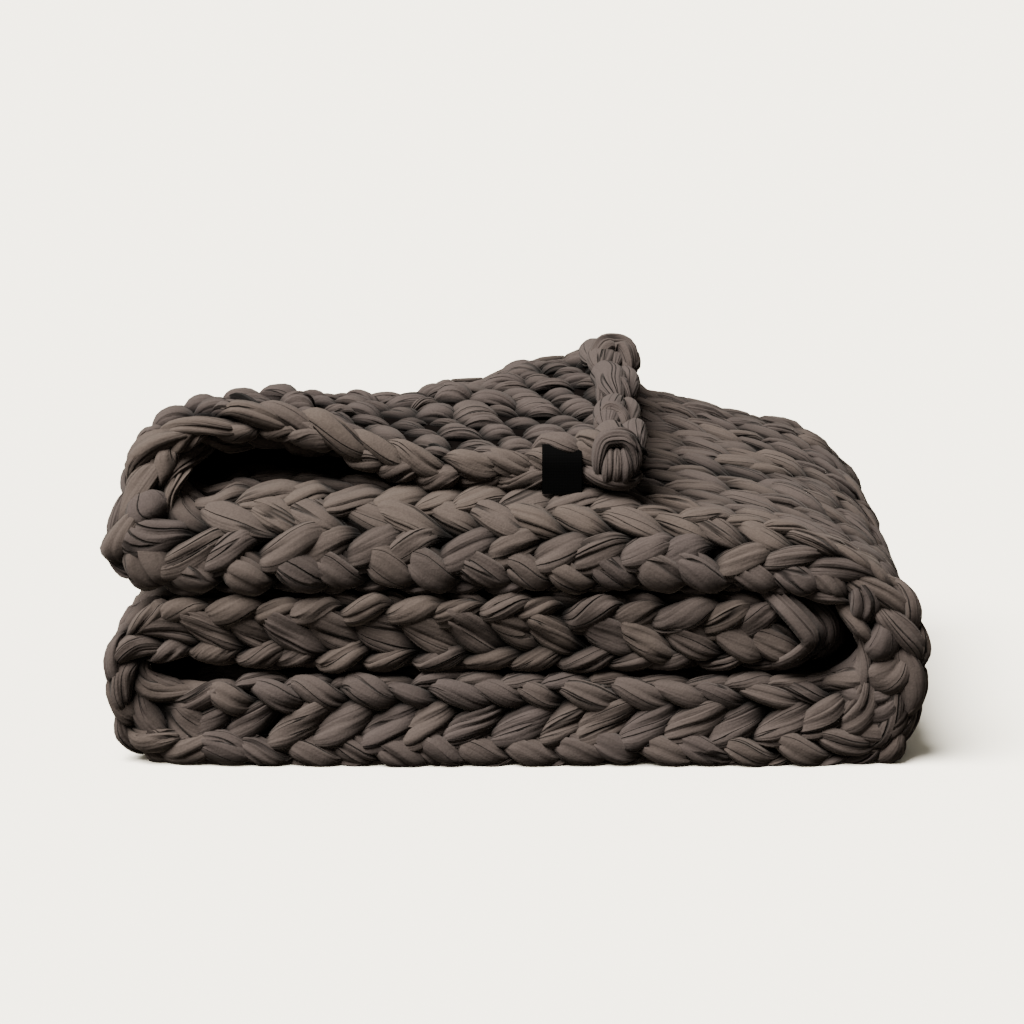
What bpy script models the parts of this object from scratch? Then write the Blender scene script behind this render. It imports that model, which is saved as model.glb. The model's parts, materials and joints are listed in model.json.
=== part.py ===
"""Chunky hand-knit weighted blanket, folded into a stack with its last end turned back on top.

Metres, +Z up, +X along the stack, +Y from its front to its back. The origin is at the middle of
the stack's underside.

The knit is one solid, a thick band. It starts at its inner end on the right, runs left as the
middle layer, round the left bend, right as the bottom layer, round the right bend, left as the
top layer, then up at the left and back to the right as the flap. Each layer is the cloth folded
lengthwise, so the band's long edges are round. The ribs are the wales, the columns of stitches.
"""

import math
from collections import namedtuple

import bmesh
import bpy
from mathutils import Vector

MM = 0.001

STACK_DEPTH = 0.420      # front edge to back edge of the layers
WALES = 10               # wales on each face of the band, from its front edge to its back edge
STEPS_PER_WALE = 3       # mesh columns to a wale
STEP_LENGTH = 0.040      # longest mesh step along the band
RIB_RELIEF = 0.0055      # depth of the groove between two wales
FLAT_HEIGHT = 0.012      # the ribs fade out below this height, so the underside is flat
SHEET_GROOVE = 0.016     # depth of the parting between the cloth's free edges, at the back
END_ROUND = 0.016        # length over which the band's two ends are rounded off
END_STEPS = 4
END_TIP = 0.30           # thickness left at the very end, as a share of the whole

BACK_RISE_FROM = 0.050   # the stack's height starts to change this far behind its front
BACK_RISE_TO = 0.380     # and has changed by the full amount here

TAB_WIDTH = 0.025        # the black woven tab on the flap's front edge
TAB_FOOT = 0.1693        # height of its lower edge
TAB_THICKNESS = 0.0016   # ribbon folded double
TAB_X = 0.030            # its middle, along the flap
TAB_WRAP = 55.0          # degrees it follows over the top of the flap's edge
TAB_BEND_STEPS = 6
CLEARANCE = 0.0003       # gap kept between two solids

KNIT_COLOUR = (0.120, 0.099, 0.088, 1.0)
TAB_COLOUR = (0.010, 0.010, 0.011, 1.0)

# The band, a row for each place where its course or its thickness changes, in millimetres and
# degrees. The outer face is the one that ends up outside in the stack, and under the flap.
# setback is how far the front edge lies behind the stack's front, edge_angle how much of the
# rounded front edge one wale takes.
Row = namedtuple("Row", "stretch outer_x outer_z inner_x inner_z setback edge_angle")
BAND = (
    Row("inner end", 200, 98, 200, 63, 9, 90),
    Row("middle", 172, 105, 172, 60, 7, 90),
    Row("middle", 120, 107, 120, 60, 6, 90),
    Row("middle", 0, 106.5, 0, 60, 5, 90),
    Row("middle", -120, 105.5, -120, 61, 6, 90),
    Row("middle", -188, 104.5, -180, 64, 6, 90),
    Row("left bend", -224, 104, -204, 67.5, 5, 90),
    Row("left bend", -250, 88, -224, 65.5, 4, 90),
    Row("left bend", -261, 58, -230, 60, 3, 90),
    Row("left bend", -250, 21, -224, 54.5, 4, 90),
    Row("left bend", -226, 3, -206, 52, 4, 90),
    Row("bottom", -190, 0, -182, 53.5, 3, 90),
    Row("bottom", -100, 0, -100, 56, 2, 90),
    Row("bottom", 60, 0, 60, 56, 3, 90),
    Row("bottom", 183, 0, 176, 54, 3, 90),
    Row("right bend", 218, 1.5, 201, 55.5, 3, 92),
    Row("right bend", 243, 13, 213, 61, 3, 96),
    Row("right bend", 259, 45, 218, 70, 3, 100),
    Row("right bend", 260.5, 76, 217, 80, 2, 100),
    Row("right bend", 247, 110, 209, 96, 1, 98),
    Row("right bend", 216, 136, 192, 107, 1, 94),
    Row("top", 166, 154, 159, 110.5, 0, 90),
    Row("top", 90, 164, 90, 110.5, 0, 90),
    Row("top", -20, 168, -20, 110.5, 1, 90),
    Row("top", -120, 169, -125, 110, 0, 90),
    Row("left end", -182, 168, -200, 109.5, 0, 90),
    Row("left end", -200, 169.5, -240, 115, 2, 92),
    Row("left end", -207, 174, -260, 137, 6, 98),
    Row("rise", -210, 182, -250, 164, 18, 112),
    Row("rise", -206, 191, -246, 190, 27, 130),
    Row("rise", -194, 198, -230, 212, 32, 150),
    Row("hump", -170, 201, -193, 226, 33, 170),
    Row("hump", -138, 198, -146, 228, 34, 180),
    Row("flap", -96, 182, -99, 212, 34, 180),
    Row("flap", -55, 172, -55, 200, 34, 180),
    Row("flap", 0, 171, 0, 199, 34, 180),
    Row("flap", 50, 174, 50, 203, 34, 180),
    Row("flap end", 81, 177, 81, 205, 34, 180),
)
FLAP_FROM = "rise"       # the stretch where the cloth leaves the stack

# How much higher the stack is at its back than at its front, as a share of its height.
BackRise = namedtuple("BackRise", "x rise")
BACK_RISES = (
    BackRise(-0.180, -0.107),
    BackRise(-0.100, -0.095),
    BackRise(-0.040, 0.000),
    BackRise(0.020, 0.095),
    BackRise(0.078, 0.175),
    BackRise(0.107, 0.148),
    BackRise(0.150, 0.112),
    BackRise(0.235, 0.135),
)

# How far the flap stands off that height, in millimetres: a loose ridge runs from its front
# left hump to its raised back corner.
LIFT_AT_X = (-0.160, -0.100, -0.040, 0.020, 0.078)
FlapLift = namedtuple("FlapLift", "y lifts")
FLAP_LIFTS = (
    FlapLift(0.040, (0, 0, 0, 0, 0)),
    FlapLift(0.100, (0, 6, 7, 1, -3)),
    FlapLift(0.200, (-11, 7, 19, 3, -9)),
    FlapLift(0.300, (-18, -4, 6, 6, -14)),
    FlapLift(0.380, (-24, -10, 0, -2, -12)),
)

Section = namedtuple("Section", "outer inner front back edge_angle relief on_stack in_flap")


def clamp01(value):
    return min(max(value, 0.0), 1.0)


def smooth(value):
    """Ease from 0 to 1."""
    value = clamp01(value)
    return value * value * (3.0 - 2.0 * value)


def smooth_table(keys, values, key):
    """Value at key on an eased line through a short table."""
    if key <= keys[0]:
        return values[0]
    for low, high, before, after in zip(keys, keys[1:], values, values[1:]):
        if key <= high:
            return before + (after - before) * smooth((key - low) / (high - low))
    return values[-1]


def curve_through(keys, rows, key):
    """Point at key on a smooth curve through rows of numbers."""
    last = len(keys) - 1
    i = 0
    while i < last - 1 and key > keys[i + 1]:
        i += 1

    def slope(j):
        before = max(j - 1, 0)
        after = min(j + 1, last)
        span = keys[after] - keys[before]
        return [(b - a) / span for a, b in zip(rows[before], rows[after])]

    step = keys[i + 1] - keys[i]
    t = clamp01((key - keys[i]) / step)
    t2, t3 = t * t, t * t * t
    blend = (2 * t3 - 3 * t2 + 1, (t3 - 2 * t2 + t) * step, 3 * t2 - 2 * t3, (t3 - t2) * step)
    columns = zip(rows[i], slope(i), rows[i + 1], slope(i + 1))
    return [sum(b * c for b, c in zip(blend, column)) for column in columns]


def band_keys():
    """Distance of each row along the middle of the band."""
    keys = [0.0]
    for a, b in zip(BAND, BAND[1:]):
        across = (b.outer_x + b.inner_x - a.outer_x - a.inner_x) / 2
        up = (b.outer_z + b.inner_z - a.outer_z - a.inner_z) / 2
        keys.append(keys[-1] + math.hypot(across, up) * MM)
    return keys


KEYS = band_keys()
ROWS = [tuple(value * MM for value in row[1:6]) + (row.edge_angle,) for row in BAND]
STRETCHES = [row.stretch for row in BAND]
FLAP_KEY = KEYS[STRETCHES.index(FLAP_FROM) - 1]
HUMP_KEY = KEYS[STRETCHES.index("hump")]


def section_at(distance, end_share=1.0):
    """Cross-section of the band at a distance along it, made smaller near its ends."""
    outer_x, outer_z, inner_x, inner_z, setback, edge_angle = curve_through(KEYS, ROWS, distance)
    outer = Vector((outer_x, max(outer_z, 0.0)))
    inner = Vector((inner_x, inner_z))
    middle = (outer + inner) / 2
    outer = middle + (outer - middle) * end_share
    inner = middle + (inner - middle) * end_share
    pull = (1.0 - end_share) * END_ROUND
    in_flap = smooth((distance - FLAP_KEY) / (HUMP_KEY - FLAP_KEY))
    front = setback + pull
    back = STACK_DEPTH - pull
    return Section(outer, inner, front, back, edge_angle, end_share, 1.0 - in_flap, in_flap)


def stack_height(x, y):
    """Factor on the heights at x, y."""
    keys = [row.x for row in BACK_RISES]
    rise = smooth_table(keys, [row.rise for row in BACK_RISES], x)
    return 1.0 + rise * smooth((y - BACK_RISE_FROM) / (BACK_RISE_TO - BACK_RISE_FROM))


def flap_lift(x, y):
    """How far the flap stands off the stack's height at x, y."""
    across = [smooth_table(LIFT_AT_X, row.lifts, x) for row in FLAP_LIFTS]
    return smooth_table([row.y for row in FLAP_LIFTS], across, y) * MM


def band_point(section, wale):
    """Point on the band. wale runs 0 at the front edge to +WALES at the back edge over the outer
    face, and to -WALES over the inner face."""
    half = (section.outer - section.inner) / 2
    middle = (section.outer + section.inner) / 2
    radius = half.length
    side = 1.0 if wale >= 0.0 else -1.0
    from_edge = min(abs(wale), WALES - abs(wale))
    at_back = abs(wale) > WALES / 2
    angle = math.radians(from_edge * section.edge_angle)
    edge_wales = 90.0 / section.edge_angle

    if angle < math.pi / 2:
        inset = radius * (1.0 - math.cos(angle))
        share = math.sin(angle)
        y = section.back - inset if at_back else section.front + inset
        normal_y = math.cos(angle) if at_back else -math.cos(angle)
    else:
        run = (abs(wale) - edge_wales) / (WALES - 2 * edge_wales)
        y = section.front + radius + run * (section.back - section.front - 2 * radius)
        share = 1.0
        normal_y = 0.0

    crest = abs(math.cos(math.pi * wale)) ** 0.7
    groove = RIB_RELIEF * (1.0 - crest)
    parting = (WALES - abs(wale)) / 0.45
    groove += SHEET_GROOVE * math.exp(-parting * parting) * section.on_stack * section.relief
    across = middle + half * (side * share)
    groove *= section.relief * clamp01(across.y / FLAT_HEIGHT)
    across -= half.normalized() * (side * share * groove)
    y -= normal_y * groove

    z = across.y * stack_height(across.x, y) + flap_lift(across.x, y) * section.in_flap
    return Vector((across.x, y, max(z, 0.0)))


def section_list():
    """Cross-sections from the inner end to the flap's end."""
    distances = []
    for start, end in zip(KEYS, KEYS[1:]):
        steps = max(2, math.ceil((end - start) / STEP_LENGTH))
        distances += [start + (end - start) * step / steps for step in range(steps)]
    length = KEYS[-1]
    inside = [d for d in distances if END_ROUND * 1.5 < d < length - END_ROUND * 1.5]

    first, last = [], []
    lowest = math.asin(END_TIP)
    for step in range(END_STEPS + 1):
        angle = lowest + (math.pi / 2 - lowest) * step / END_STEPS
        inset = END_ROUND * (1.0 - math.cos(angle - lowest))
        first.append(section_at(inset, math.sin(angle)))
        last.append(section_at(length - inset, math.sin(angle)))
    return first + [section_at(d) for d in inside] + last[::-1]


def new_object(name, mesh_data, collection, colour, roughness):
    """Object with its own plain material."""
    material = bpy.data.materials.new(name)
    material.use_nodes = True
    shader = material.node_tree.nodes["Principled BSDF"]
    shader.inputs["Base Color"].default_value = colour
    shader.inputs["Roughness"].default_value = roughness
    shader.inputs["Metallic"].default_value = 0.0
    mesh_data.materials.append(material)
    item = bpy.data.objects.new(name, mesh_data)
    collection.objects.link(item)
    return item


def knit_mesh():
    """The knit blanket: the band's cross-sections, lofted and closed at both ends."""
    columns = 2 * WALES * STEPS_PER_WALE
    wales = [-WALES + (column + 0.5) / STEPS_PER_WALE for column in range(columns)]
    body = bmesh.new()
    rings = []
    for section in section_list():
        rings.append([body.verts.new(band_point(section, wale)) for wale in wales])
    for ring, following in zip(rings, rings[1:]):
        for column in range(columns):
            beside = (column + 1) % columns
            body.faces.new((ring[column], ring[beside], following[beside], following[column]))
    for ring in (rings[0], rings[-1]):
        for outer in range(columns // 2, columns - 1):
            inner = columns - 1 - outer
            body.faces.new((ring[outer], ring[outer + 1], ring[inner - 1], ring[inner]))
    bmesh.ops.recalc_face_normals(body, faces=body.faces)
    data = bpy.data.meshes.new("knit_blanket")
    body.to_mesh(data)
    body.free()
    return data


def tab_mesh():
    """The woven tab: a ribbon over the flap's front edge that hangs down its front."""
    section = section_at(KEYS[-1] - (ROWS[-1][0] - TAB_X))
    middle = (section.outer + section.inner) / 2
    radius = (section.outer - section.inner).length / 2
    reach = radius + CLEARANCE + TAB_THICKNESS / 2
    centre_y = section.front + radius

    profile = []
    for step in range(TAB_BEND_STEPS + 1):
        angle = math.radians(TAB_WRAP) * (1.0 - step / TAB_BEND_STEPS)
        profile.append((centre_y - reach * math.cos(angle), middle.y + reach * math.sin(angle)))
    profile.append((centre_y - reach, TAB_FOOT))

    ribbon = bmesh.new()
    edges = []
    for x in (TAB_X - TAB_WIDTH / 2, TAB_X + TAB_WIDTH / 2):
        edges.append([ribbon.verts.new((x, y, z)) for y, z in profile])
    left, right = edges
    for i in range(len(profile) - 1):
        ribbon.faces.new((left[i], left[i + 1], right[i + 1], right[i]))
    data = bpy.data.meshes.new("woven_tab")
    ribbon.to_mesh(data)
    ribbon.free()
    return data


def centre_on_origin(blanket, others):
    """Move the meshes so that the origin is below the middle of the blanket's box."""
    corners = [vertex.co for vertex in blanket.vertices]
    middle_x = (min(c.x for c in corners) + max(c.x for c in corners)) / 2
    middle_y = (min(c.y for c in corners) + max(c.y for c in corners)) / 2
    for data in (blanket, *others):
        for vertex in data.vertices:
            vertex.co -= Vector((middle_x, middle_y, 0.0))


def build():
    for item in list(bpy.data.objects):
        bpy.data.objects.remove(item, do_unlink=True)
    collection = bpy.data.collections.new("weighted_blanket")
    bpy.context.scene.collection.children.link(collection)

    knit = knit_mesh()
    tab = tab_mesh()
    centre_on_origin(knit, [tab])

    blanket = new_object("knit_blanket", knit, collection, KNIT_COLOUR, 0.95)
    blanket.data.shade_smooth()
    ribbon = new_object("woven_tab", tab, collection, TAB_COLOUR, 0.80)
    thickness = ribbon.modifiers.new("ribbon thickness", "SOLIDIFY")
    thickness.thickness = TAB_THICKNESS
    thickness.offset = 0.0


build()
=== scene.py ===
import json
import math
from collections import namedtuple
from functools import cache, partial

import bmesh
import bpy
import numpy as np
from bpy.props import FloatProperty, FloatVectorProperty, IntProperty, PointerProperty
from bpy.types import Operator, Panel, PropertyGroup
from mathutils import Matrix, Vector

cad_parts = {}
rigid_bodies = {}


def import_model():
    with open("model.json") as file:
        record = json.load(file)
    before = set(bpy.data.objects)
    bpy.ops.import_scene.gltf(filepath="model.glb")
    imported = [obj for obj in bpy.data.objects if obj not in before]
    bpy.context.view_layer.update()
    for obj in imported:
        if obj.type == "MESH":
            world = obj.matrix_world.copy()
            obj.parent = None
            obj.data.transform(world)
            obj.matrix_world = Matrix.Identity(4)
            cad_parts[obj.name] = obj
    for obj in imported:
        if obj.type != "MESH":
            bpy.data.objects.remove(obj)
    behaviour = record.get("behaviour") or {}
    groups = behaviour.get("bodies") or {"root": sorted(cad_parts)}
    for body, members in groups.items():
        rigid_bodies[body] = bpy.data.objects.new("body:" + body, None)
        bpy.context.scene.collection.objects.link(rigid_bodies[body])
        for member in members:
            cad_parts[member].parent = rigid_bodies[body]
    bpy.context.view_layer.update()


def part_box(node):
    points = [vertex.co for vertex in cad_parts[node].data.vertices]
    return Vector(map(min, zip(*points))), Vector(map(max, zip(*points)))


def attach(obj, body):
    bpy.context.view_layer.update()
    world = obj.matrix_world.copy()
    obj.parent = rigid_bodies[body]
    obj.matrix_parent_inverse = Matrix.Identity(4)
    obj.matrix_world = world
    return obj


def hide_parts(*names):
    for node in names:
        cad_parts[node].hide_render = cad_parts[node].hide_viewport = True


bl_info = {
    "name": "Folded chunky-knit blanket",
    "version": (1, 0, 0),
    "blender": (4, 5, 0),
    "location": "3D View > Sidebar > Knit",
    "description": "Knits a thick weighted blanket, stitch by stitch, over its folded course",
    "category": "Object",
}

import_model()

MM = 0.001
WALES = 10               # columns of stitches on each face of the folded band
WALE_WIDTH = 0.044       # real width of one column
STACK_DEPTH = 0.420
BACK_RISE_FROM = 0.050   # the stack grows higher between these two distances from its front
BACK_RISE_TO = 0.380
SPARE = 0.030            # the guide runs on past the band's ends by this much
WALE_SPARE = 0.6         # and past the back, where its two faces meet, by so many wales
FLOOR_GAP = 0.0004       # no stitch lies lower than this
GUIDE_GRID = (440, 190)  # rows along the band and round it, in the guide
GROUND_GRID = (150, 96)  # and in the ground
GROUND_DEPTH = 0.0125    # the ground lies this far under the knit's face, or less in thin cloth
STRAND_RINGS = 24
STRAND_PLEATS = 7
MOST_PLEATS = 12         # each shape draws a depth and a reach for this many pleats
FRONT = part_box("knit_blanket")[0].y
CAMERA_AWAY = 2.4        # how far the camera stands in front of the blanket
CAMERA_DOWN = 9.77       # and how many degrees it looks down

# The folded band's course, as in the solid. Each row says where the band's outer face runs (x, z),
# where its inner face runs (x, z) and how far its front edge is set back, all in millimetres, and
# how many degrees of that edge one wale takes.
BAND = {
    "inner end": ((200, 98, 200, 63, 9, 80),),
    "middle": (
        (172, 105, 172, 60, 7, 80), (120, 107, 120, 60, 6, 80), (0, 106.5, 0, 60, 5, 80),
        (-120, 105.5, -120, 61, 6, 80), (-188, 104.5, -180, 64, 6, 80),
    ),
    "left bend": (
        (-224, 104, -204, 67.5, 5, 80), (-250, 88, -224, 65.5, 4, 80), (-261, 58, -230, 60, 3, 80),
        (-250, 21, -224, 54.5, 4, 76), (-226, 3, -206, 52, 4, 70),
    ),
    "bottom": (
        (-190, 0, -182, 53.5, 3, 68), (-100, 0, -100, 56, 2, 68), (60, 0, 60, 56, 3, 68),
        (183, 0, 176, 54, 3, 68),
    ),
    "right bend": (
        (218, 1.5, 201, 55.5, 3, 72), (243, 13, 213, 61, 3, 76), (259, 45, 218, 70, 3, 84),
        (260.5, 76, 217, 80, 2, 84), (247, 110, 209, 96, 1, 84), (216, 136, 192, 107, 1, 84),
    ),
    "top": (
        (166, 154, 159, 110.5, 0, 86), (90, 164, 90, 110.5, 0, 86), (-20, 168, -20, 110.5, 1, 86),
        (-120, 169, -125, 110, 0, 86),
    ),
    "left end": (
        (-182, 168, -200, 109.5, 0, 90), (-200, 169.5, -240, 115, 2, 92),
        (-207, 174, -260, 137, 6, 98),
    ),
    "rise": (
        (-210, 182, -250, 164, 18, 112), (-206, 191, -246, 190, 27, 130),
        (-194, 198, -230, 212, 32, 150),
    ),
    "hump": ((-170, 201, -193, 226, 33, 170), (-138, 198, -146, 228, 34, 180)),
    "flap": (
        (-96, 182, -99, 212, 34, 180), (-55, 172, -55, 200, 34, 180), (0, 171, 0, 199, 34, 180),
        (50, 174, 50, 203, 34, 180),
    ),
    "flap end": ((81, 177, 81, 205, 34, 180),),
}

# How much higher the stack is at its back, as a share of its height.
RISE_AT_X = np.array((-0.180, -0.100, -0.040, 0.020, 0.078, 0.107, 0.150, 0.235))
BACK_RISES = np.array((-0.107, -0.095, 0.000, 0.095, 0.175, 0.148, 0.112, 0.135))

# How far the flap stands off that height, in millimetres, from its front to its back.
LIFT_AT_X = np.array((-0.160, -0.100, -0.040, 0.020, 0.078))
LIFT_AT_Y = np.array((0.040, 0.100, 0.200, 0.300, 0.380))
FLAP_LIFTS = np.array((
    (0, 0, 0, 0, 0),
    (0, 6, 7, 1, -3),
    (-11, 7, 18, 1, -9),
    (-18, -4, 6, 3, -14),
    (-33, -20, -5, -9, -21),
))

# How far the columns have slid round the front edge: a stretch of the band, how many metres past
# its start, and how many wales.
SLIDES = (
    ("inner end", 0.0, -0.10), ("middle", 0.06, 0.10), ("middle", 0.16, 0.26),
    ("left bend", 0.0, 0.27), ("bottom", 0.02, 0.27), ("bottom", 0.34, 0.27),
    ("right bend", 0.09, 0.00), ("top", 0.0, -0.15), ("top", 0.25, -0.15),
    ("left end", 0.0, -0.20), ("hump", 0.0, 0.10), ("flap end", 0.0, 0.12),
)

# Kinds of stitch shape: how many of each, their rings and sides, whether they are purl bumps, the
# fewest and the most pleats on one, and how deep its pleats are.
Kind = namedtuple("Kind", "count rings sides purl pleats deep")
KINDS = {
    "fine": Kind(32, 16, 30, False, (3, 6), (0.14, 0.44)),
    "plain": Kind(24, 10, 24, False, (3, 5), (0.20, 0.50)),
    "rough": Kind(14, 7, 13, False, (1, 2), (0.16, 0.40)),
    "bumps": Kind(28, 12, 26, True, (3, 6), (0.20, 0.50)),
}

# Ranges for a full purl bump, and for the thinner twist of yarn where four bumps meet: length,
# width in wales, turn in radians, height, thickness, then how far it lies to the side, in wales,
# and ahead, in stitches.
Bump = namedtuple("Bump", "size wide turn lift thick beside ahead")
BUMPS = (
    Bump((0.036, 0.047), (0.58, 0.84), (-0.24, 0.24), (-0.004, 0.003), (0.0180, 0.0225), 0.0, 0.0),
    Bump((0.028, 0.036), (0.24, 0.34), (-0.8, 0.8), (-0.005, 0.001), (0.009, 0.012), 0.5, 0.25),
)

# What a planned stitch carries for the nodes that lay it. Its tint stays on the finished piece.
LAYING = {
    "place": "FLOAT_VECTOR", "along": "FLOAT_VECTOR", "across": "FLOAT_VECTOR",
    "thickness": "FLOAT", "flip": "FLOAT", "shape": "INT",
}

Stitch = namedtuple("Stitch", "place along across thickness shape flip tint")
Strand = namedtuple("Strand", "points wide width thickness")
Tools = namedtuple("Tools", "guide yarn shapes tree")
ALONG_Y = (0.0, 1.0, 0.0)


def seeded(number):
    """Random numbers for one piece, changed by the user's seed."""
    return np.random.default_rng(bpy.context.scene.knit_sizes.seed + number)


def new_object(name, data):
    """An object in the scene."""
    item = bpy.data.objects.new(name, data)
    bpy.context.scene.collection.objects.link(item)
    return item


# The knitted band's surface

COURSE = np.array([row for rows in BAND.values() for row in rows], dtype=float)
STEPS = np.diff((COURSE[:, :2] + COURSE[:, 2:4]) / 2, axis=0)
KEYS = np.concatenate(([0.0], np.cumsum(np.hypot(STEPS[:, 0], STEPS[:, 1])))) * MM
LENGTH = KEYS[-1]
ROWS = COURSE * ([MM] * 5 + [1.0])
FIRST_ROW = dict(zip(BAND, np.cumsum([0] + [len(rows) for rows in BAND.values()])))
START = {stretch: KEYS[row] for stretch, row in FIRST_ROW.items()}
LIFT_FROM = KEYS[FIRST_ROW["rise"] - 1]
LIFT_TO = START["hump"]


def eased(value):
    """0 up to 0, 1 from 1, and a smooth step between."""
    value = np.clip(value, 0.0, 1.0)
    return value * value * (3.0 - 2.0 * value)


def unit(vectors):
    """Vectors of the same directions, one long."""
    return vectors / np.maximum(np.linalg.norm(vectors, axis=-1, keepdims=True), 1e-12)


def span_at(keys, key):
    """Which span between two keys each value lies in."""
    return np.clip(np.searchsorted(keys, key) - 1, 0, len(keys) - 2)


def eased_table(keys, values, key):
    """Values on an eased line through a short table, one column of values for each key."""
    i = span_at(keys, key)
    share = eased((key - keys[i]) / (keys[i + 1] - keys[i]))
    return values[..., i] + (values[..., i + 1] - values[..., i]) * share


def course_at(distance):
    """Rows of the band's course at distances along it, on a smooth curve, straight past its ends."""
    held = np.clip(distance, 0.0, LENGTH)
    i = span_at(KEYS, held)
    low = np.maximum(np.arange(len(KEYS)) - 1, 0)
    high = np.minimum(np.arange(len(KEYS)) + 1, len(KEYS) - 1)
    slopes = (ROWS[high] - ROWS[low]) / (KEYS[high] - KEYS[low])[:, None]
    step = (KEYS[i + 1] - KEYS[i])[:, None]
    t = (held - KEYS[i])[:, None] / step
    course = (
        (2 * t**3 - 3 * t**2 + 1) * ROWS[i] + (t**3 - 2 * t**2 + t) * step * slopes[i]
        + (3 * t**2 - 2 * t**3) * ROWS[i + 1] + (t**3 - t**2) * step * slopes[i + 1]
    )
    beyond = (distance - held)[:, None]
    return course + beyond * np.where(beyond < 0, slopes[0], slopes[-1])


def half_thickness(course):
    """Half the distance between the band's outer and inner faces."""
    return np.hypot(course[..., 0] - course[..., 2], course[..., 1] - course[..., 3]) / 2


def in_flap(distance):
    """0 before the flap's rise and 1 past it."""
    return eased((distance - LIFT_FROM) / (LIFT_TO - LIFT_FROM))


def round_edge(wale, edge_angle):
    """A wale within -WALES to WALES, how far it is from the nearer edge, and its angle there."""
    wale = (wale + WALES) % (2 * WALES) - WALES
    from_edge = np.minimum(abs(wale), WALES - abs(wale))
    return wale, from_edge, np.radians(np.minimum(from_edge * edge_angle, 90.0))


def knit_points(distance, wale, depth=0.0):
    """Points on the band, or depth below its face. wale runs 0 at the front edge to +WALES at the
    back over the outer face, and to -WALES over the inner face."""
    distance, wale, depth = np.broadcast_arrays(
        np.asarray(distance, float), np.asarray(wale, float), np.asarray(depth, float)
    )
    shape = distance.shape
    distance, wale, depth = distance.ravel(), wale.ravel(), depth.ravel()
    course = course_at(distance)
    outer = np.stack((course[:, 0], np.maximum(course[:, 1], 0.0)), axis=1)
    inner = course[:, 2:4]
    front, edge_angle = course[:, 4], course[:, 5]
    middle, half = (outer + inner) / 2, (outer - inner) / 2
    radius = np.hypot(half[:, 0], half[:, 1])

    wale, from_edge, angle = round_edge(wale, edge_angle)
    at_back = abs(wale) > WALES / 2
    inset = radius * (1.0 - np.cos(angle))
    edge_wales = 90.0 / edge_angle
    run = (abs(wale) - edge_wales) / (WALES - 2 * edge_wales)
    flat_y = front + radius + run * (STACK_DEPTH - front - 2 * radius)
    edge_y = np.where(at_back, STACK_DEPTH - inset, front + inset)
    on_edge = from_edge < edge_wales
    y = np.where(on_edge, edge_y, flat_y)
    side = np.where(wale >= 0, 1.0, -1.0)
    share = np.where(on_edge, np.sin(angle), 1.0) * side
    normal_y = np.where(on_edge, np.cos(angle) * np.where(at_back, 1.0, -1.0), 0.0)

    across = middle + half * (share * (1.0 - depth / radius))[:, None]
    y = y - normal_y * depth
    rise = eased_table(RISE_AT_X, BACK_RISES, across[:, 0])
    height = 1.0 + rise * eased((y - BACK_RISE_FROM) / (BACK_RISE_TO - BACK_RISE_FROM))
    lifts = eased_table(LIFT_AT_X, FLAP_LIFTS, across[:, 0])
    i = span_at(LIFT_AT_Y, y)
    between = eased((y - LIFT_AT_Y[i]) / (LIFT_AT_Y[i + 1] - LIFT_AT_Y[i]))
    each = np.arange(len(y))
    lift = lifts[i, each] + (lifts[i + 1, each] - lifts[i, each]) * between
    z = np.maximum(across[:, 1] * height + lift * in_flap(distance) * MM, 0.0)
    return np.stack((across[:, 0] - MIDDLE_X, y + FRONT, z), axis=1).reshape(shape + (3,))


# The band is measured once where its rows put it, and then stands centred on x 0.
MIDDLE_X = 0.0
ALONG_BAND, ROUND_BAND = np.linspace(0, LENGTH, 800), np.linspace(-WALES, WALES, 2 * WALES + 1)
EDGES_X = knit_points(*np.meshgrid(ALONG_BAND, ROUND_BAND))[..., 0]
MIDDLE_X = (EDGES_X.min() + EDGES_X.max()) / 2


def slide_at(distance):
    """How far the columns have slid round the band's edge, in wales."""
    keys = [START[stretch] + past for stretch, past, wales in SLIDES]
    return np.interp(distance, keys, [wales for stretch, past, wales in SLIDES])


def hollow_swell(distance, wale):
    """How far the top layer bulges up into the flap's hollow and under its front edge."""
    end = START["left end"]
    before_end = eased((end + 0.015 - distance) / 0.02)
    hollow = (0.010 * (eased((distance - end + 0.10) / 0.04) * before_end)
              * eased((wale - 0.7) / 0.7) * eased((5.0 - wale) / 2.0))
    front = (0.0085 * (eased((distance - end + 0.29) / 0.05) * before_end)
             * eased((wale - 0.85) / 0.6) * eased((3.0 - wale) / 1.0))
    return np.maximum(hollow, front)


def edge_fill(distance, wale):
    """How far the stitches swell into the corners between two layers, at the band's round edges."""
    course = course_at(distance.ravel()).reshape(distance.shape + (6,))
    wale, from_edge, angle = round_edge(wale, course[..., 5])
    lifted = in_flap(distance)
    resting = (eased((distance - START["bottom"]) / 0.03)
               * eased((START["right bend"] - distance) / 0.03) * (wale > 0))
    on_top = eased((distance - START["top"] + 0.04) / 0.05) * (1.0 - lifted) * (wale > 0)
    middle = (distance < START["left bend"]) * (wale > 0)
    # A share of the half thickness: more where a layer rests on others, less in the flap.
    share = (0.33 - 0.23 * lifted + 0.14 * resting + 0.17 * middle) * (1.0 - 1.25 * on_top)
    return share * half_thickness(course) * np.sin(2 * angle) ** 2 + hollow_swell(distance, wale)


def full_face(distance, wale):
    """Points on the band's face as the stitches fill it out."""
    return knit_points(distance, wale, -edge_fill(distance, wale))


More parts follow.
